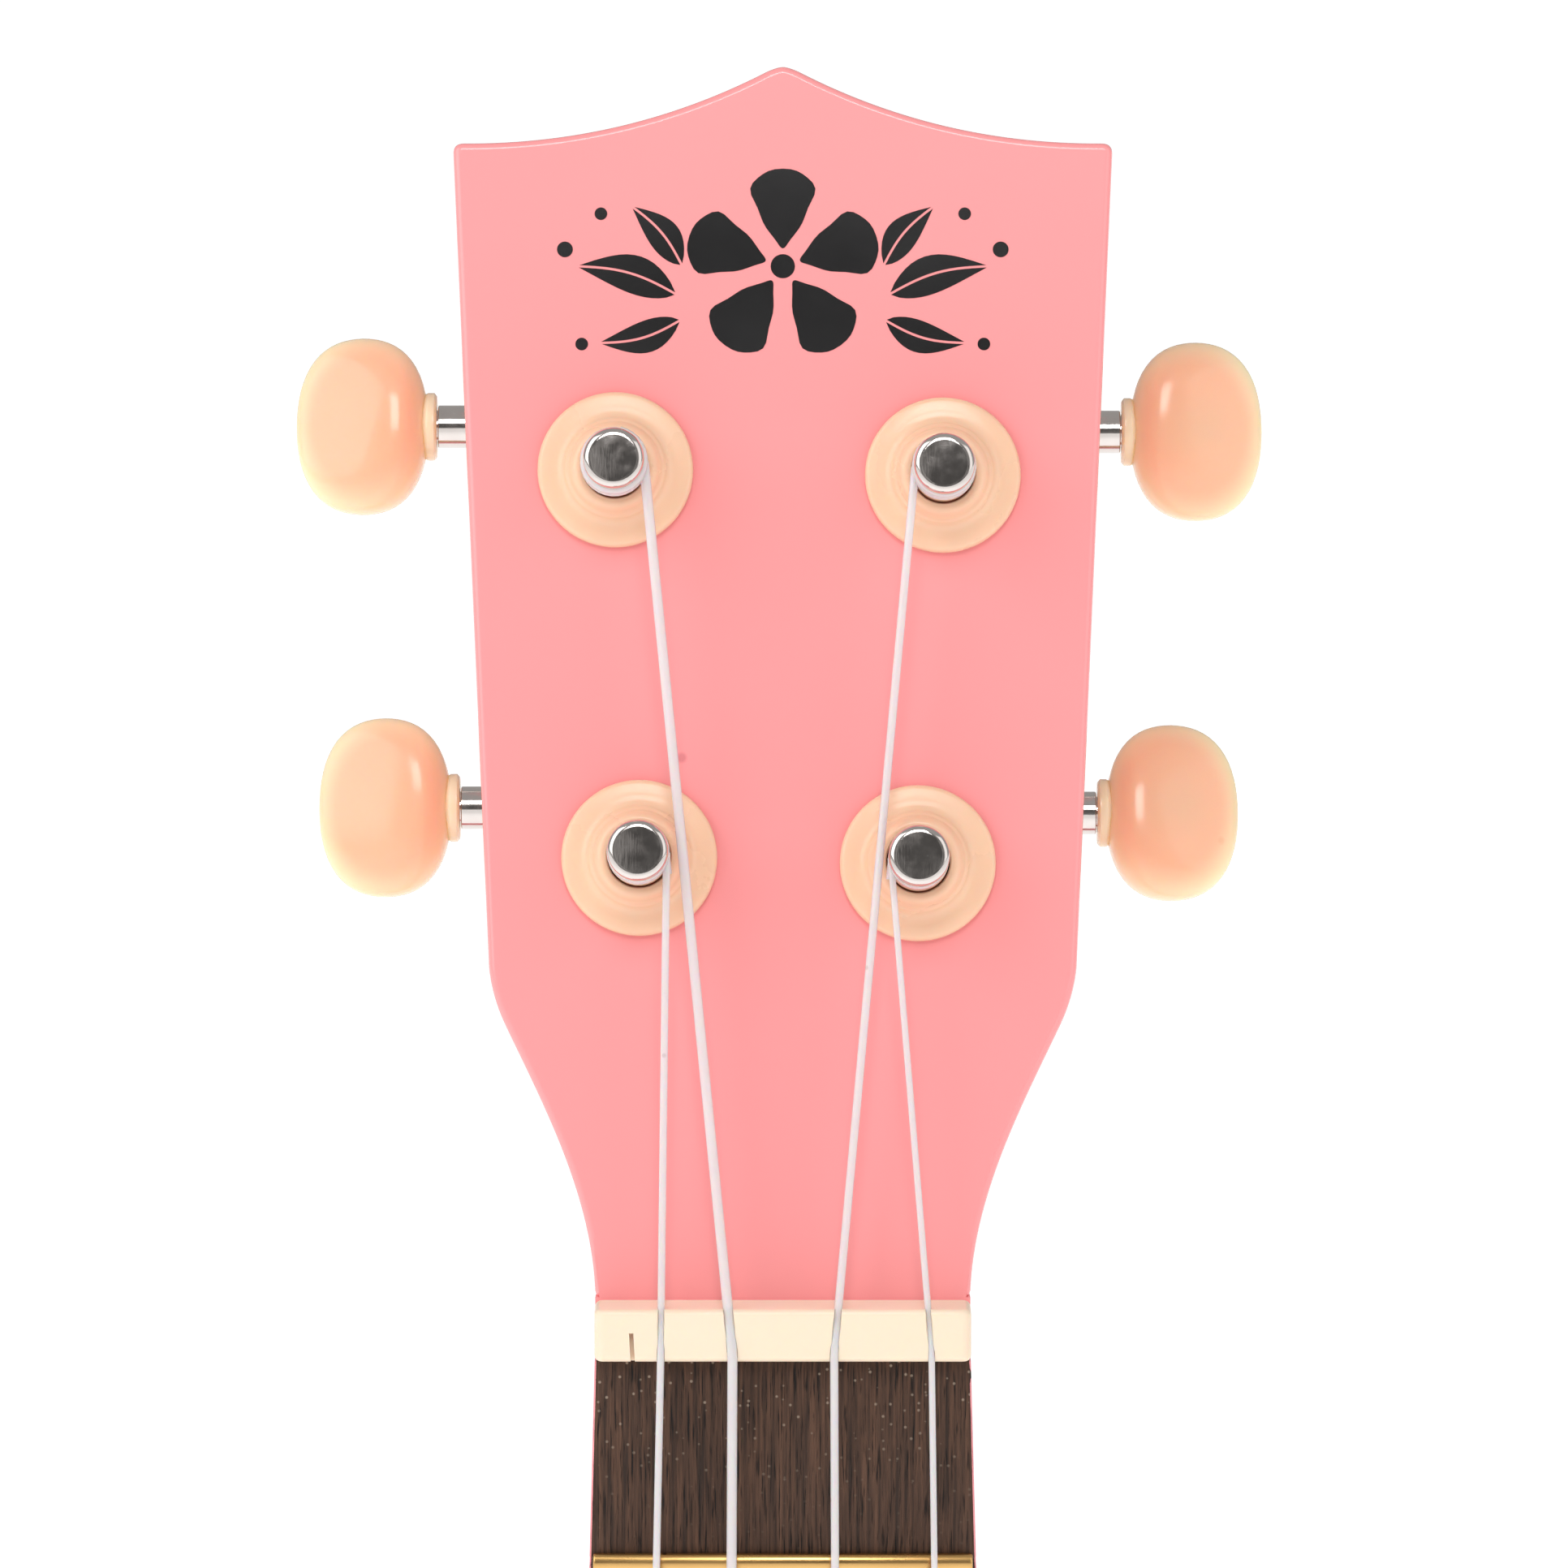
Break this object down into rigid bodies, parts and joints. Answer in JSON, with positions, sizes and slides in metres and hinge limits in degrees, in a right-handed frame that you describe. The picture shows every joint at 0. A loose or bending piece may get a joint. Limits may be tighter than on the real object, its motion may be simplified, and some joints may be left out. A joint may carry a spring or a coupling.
{
  "type": "ukulele",
  "caption": "Soprano ukulele with a pink painted body and tilted headstock, a round sound hole, a dark fretboard and geared tuners with oval cream buttons.",
  "frame": {"origin": "middle of the nut's lower edge, on the plane of the fretboard's face", "axes": "+Z along the neck toward the head, -Y out of the front (the strings face -Y), +X to the right as seen from the front"},
  "size_m": [0.17, 0.0697, 0.5316],
  "materials": {
    "neck_paint": "satin pink paint over wood",
    "body_paint": "satin pink paint over laminated wood",
    "dark_wood": "bare dark wood with fine open grain",
    "pale_wood": "bare pale wood",
    "cream_nut": "cream, polished",
    "cream_fittings": "peach-cream, polished",
    "cream_buttons": "peach-cream, polished, slightly translucent",
    "ring_print": "cream inlay",
    "pearl": "pearl inlay",
    "fret_brass": "polished",
    "chrome": "polished chrome",
    "steel": "plain steel",
    "nylon": "clear white nylon"
  },
  "bodies": {
    "root": {"neck": "neck_paint", "fretboard": "dark_wood", "nut": "cream_nut", "fret_01": "fret_brass", "fret_02": "fret_brass", "fret_03": "fret_brass", "fret_04": "fret_brass", "fret_05": "fret_brass", "fret_06": "fret_brass", "fret_07": "fret_brass", "fret_08": "fret_brass", "fret_09": "fret_brass", "fret_10": "fret_brass", "fret_11": "fret_brass", "fret_12": "fret_brass", "dot_fret_05": "pearl", "dot_fret_07": "pearl", "dot_fret_10": "pearl", "soundboard": "body_paint", "rosette": "ring_print", "sides": "body_paint", "back": "body_paint", "front_lining": "pale_wood", "back_lining": "pale_wood", "neck_block": "pale_wood", "tail_block": "pale_wood", "upper_brace": "pale_wood", "lower_brace": "pale_wood", "bridge_plate": "pale_wood", "bridge": "dark_wood", "saddle": "cream_nut", "neck_screw": "steel", "string_g": "nylon", "string_c": "nylon", "string_e": "nylon", "string_a": "nylon", "bushing_g": "cream_fittings", "housing_g": "cream_fittings", "tuner_screw_g": "steel", "bushing_c": "cream_fittings", "housing_c": "cream_fittings", "tuner_screw_c": "steel", "bushing_e": "cream_fittings", "housing_e": "cream_fittings", "tuner_screw_e": "steel", "bushing_a": "cream_fittings", "housing_a": "cream_fittings", "tuner_screw_a": "steel"},
    "knob_g": {"worm_shaft_g": "chrome", "button_g": "cream_buttons"},
    "post_g": {"post_g": "chrome"},
    "knob_c": {"worm_shaft_c": "chrome", "button_c": "cream_buttons"},
    "post_c": {"post_c": "chrome"},
    "knob_e": {"worm_shaft_e": "chrome", "button_e": "cream_buttons"},
    "post_e": {"post_e": "chrome"},
    "knob_a": {"worm_shaft_a": "chrome", "button_a": "cream_buttons"},
    "post_a": {"post_a": "chrome"}
  },
  "joints": [
    {"name": "knob_g_turn", "type": "hinge", "parent": "root", "child": "knob_g", "pos_m": [-0.0135, 0.03031, 0.04755], "axis": [1, 0, 0], "continuous": true},
    {"name": "post_g_turn", "type": "hinge", "parent": "root", "child": "post_g", "pos_m": [-0.0135, 0.01279, 0.04544], "axis": [0, -0.9744, 0.225], "continuous": true},
    {"name": "knob_c_turn", "type": "hinge", "parent": "root", "child": "knob_c", "pos_m": [-0.0158, 0.03857, 0.08331], "axis": [1, 0, 0], "continuous": true},
    {"name": "post_c_turn", "type": "hinge", "parent": "root", "child": "post_c", "pos_m": [-0.0158, 0.02105, 0.0812], "axis": [0, -0.9744, 0.225], "continuous": true},
    {"name": "knob_e_turn", "type": "hinge", "parent": "root", "child": "knob_e", "pos_m": [0.0151, 0.03846, 0.08283], "axis": [1, 0, 0], "continuous": true},
    {"name": "post_e_turn", "type": "hinge", "parent": "root", "child": "post_e", "pos_m": [0.0151, 0.02093, 0.08071], "axis": [0, -0.9744, 0.225], "continuous": true},
    {"name": "knob_a_turn", "type": "hinge", "parent": "root", "child": "knob_a", "pos_m": [0.0127, 0.0302, 0.04707], "axis": [1, 0, 0], "continuous": true},
    {"name": "post_a_turn", "type": "hinge", "parent": "root", "child": "post_a", "pos_m": [0.0127, 0.01268, 0.04495], "axis": [0, -0.9744, 0.225], "continuous": true}
  ],
  "couplings": [
    {"joint": "post_g_turn", "follows": "knob_g_turn", "ratio": 0.071429},
    {"joint": "post_c_turn", "follows": "knob_c_turn", "ratio": 0.071429},
    {"joint": "post_e_turn", "follows": "knob_e_turn", "ratio": -0.071429},
    {"joint": "post_a_turn", "follows": "knob_a_turn", "ratio": -0.071429}
  ]
}
